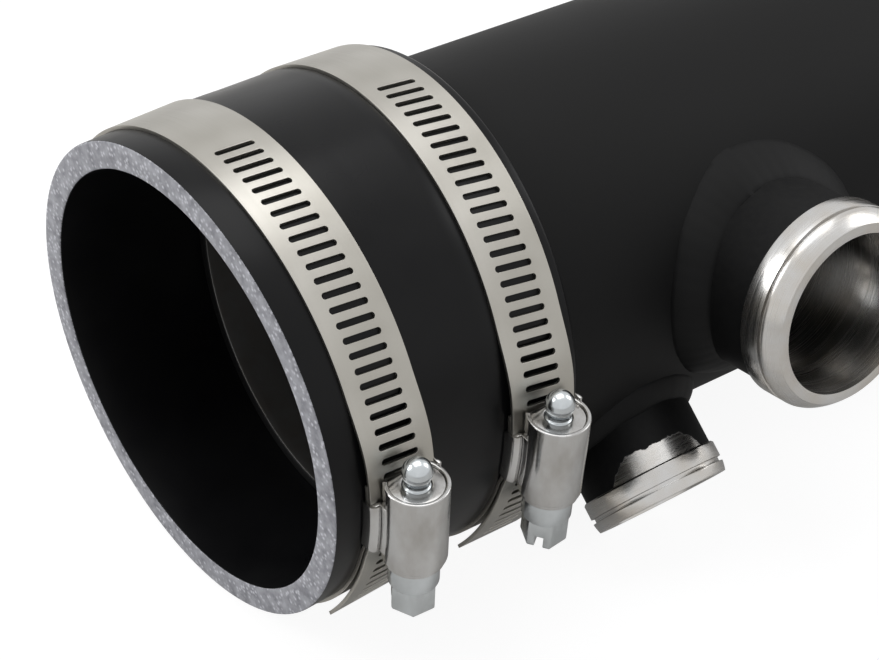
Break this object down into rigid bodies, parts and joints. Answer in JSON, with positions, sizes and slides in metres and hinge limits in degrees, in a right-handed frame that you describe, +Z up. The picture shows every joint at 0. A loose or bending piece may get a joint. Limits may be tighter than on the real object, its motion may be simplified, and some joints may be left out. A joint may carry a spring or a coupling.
{
  "type": "cold air intake pipe",
  "caption": "Black coated aluminium air pipe with radial turned outlets and a short rubber coupler held by worm-drive hose clamps.",
  "frame": {"origin": "centre of the pipe's free end, the end away from the coupler", "axes": "+X towards the coupler's open mouth, +Z up as the pipe lies at rest, +Y towards the outlets and the clamp housings"},
  "size_m": [0.2301, 0.1047, 0.0882],
  "materials": {
    "black_coat": "satin black powder coat",
    "machined_aluminium": "fine turned",
    "coupler_rubber": "semi-gloss wrapped rubber",
    "band_steel": "rolled stainless strip",
    "housing_steel": "smooth pressed sheet",
    "screw_steel": "bright zinc plate"
  },
  "bodies": {
    "pipe_assembly": {"main_pipe": "black_coat", "upper_outlet": "machined_aluminium", "upper_weld": "black_coat", "lower_outlet": "machined_aluminium", "lower_weld": "black_coat", "coupler_hose": "coupler_rubber", "front_clamp_band": "band_steel", "front_clamp_saddle": "housing_steel", "front_clamp_housing": "housing_steel", "rear_clamp_band": "band_steel", "rear_clamp_saddle": "housing_steel", "rear_clamp_housing": "housing_steel"},
    "front_screw": {"front_clamp_screw": "screw_steel"},
    "rear_screw": {"rear_clamp_screw": "screw_steel"}
  },
  "joints": [
    {"name": "front_screw_turn", "type": "hinge", "parent": "pipe_assembly", "child": "front_screw", "pos_m": [0.21323, 0.0483, 0.00448], "axis": [-0.0099, -0.042, -0.9991], "continuous": true},
    {"name": "rear_screw_turn", "type": "hinge", "parent": "pipe_assembly", "child": "rear_screw", "pos_m": [0.18507, 0.04801, 0.0039], "axis": [0.0317, -0.0412, -0.9986], "continuous": true}
  ]
}
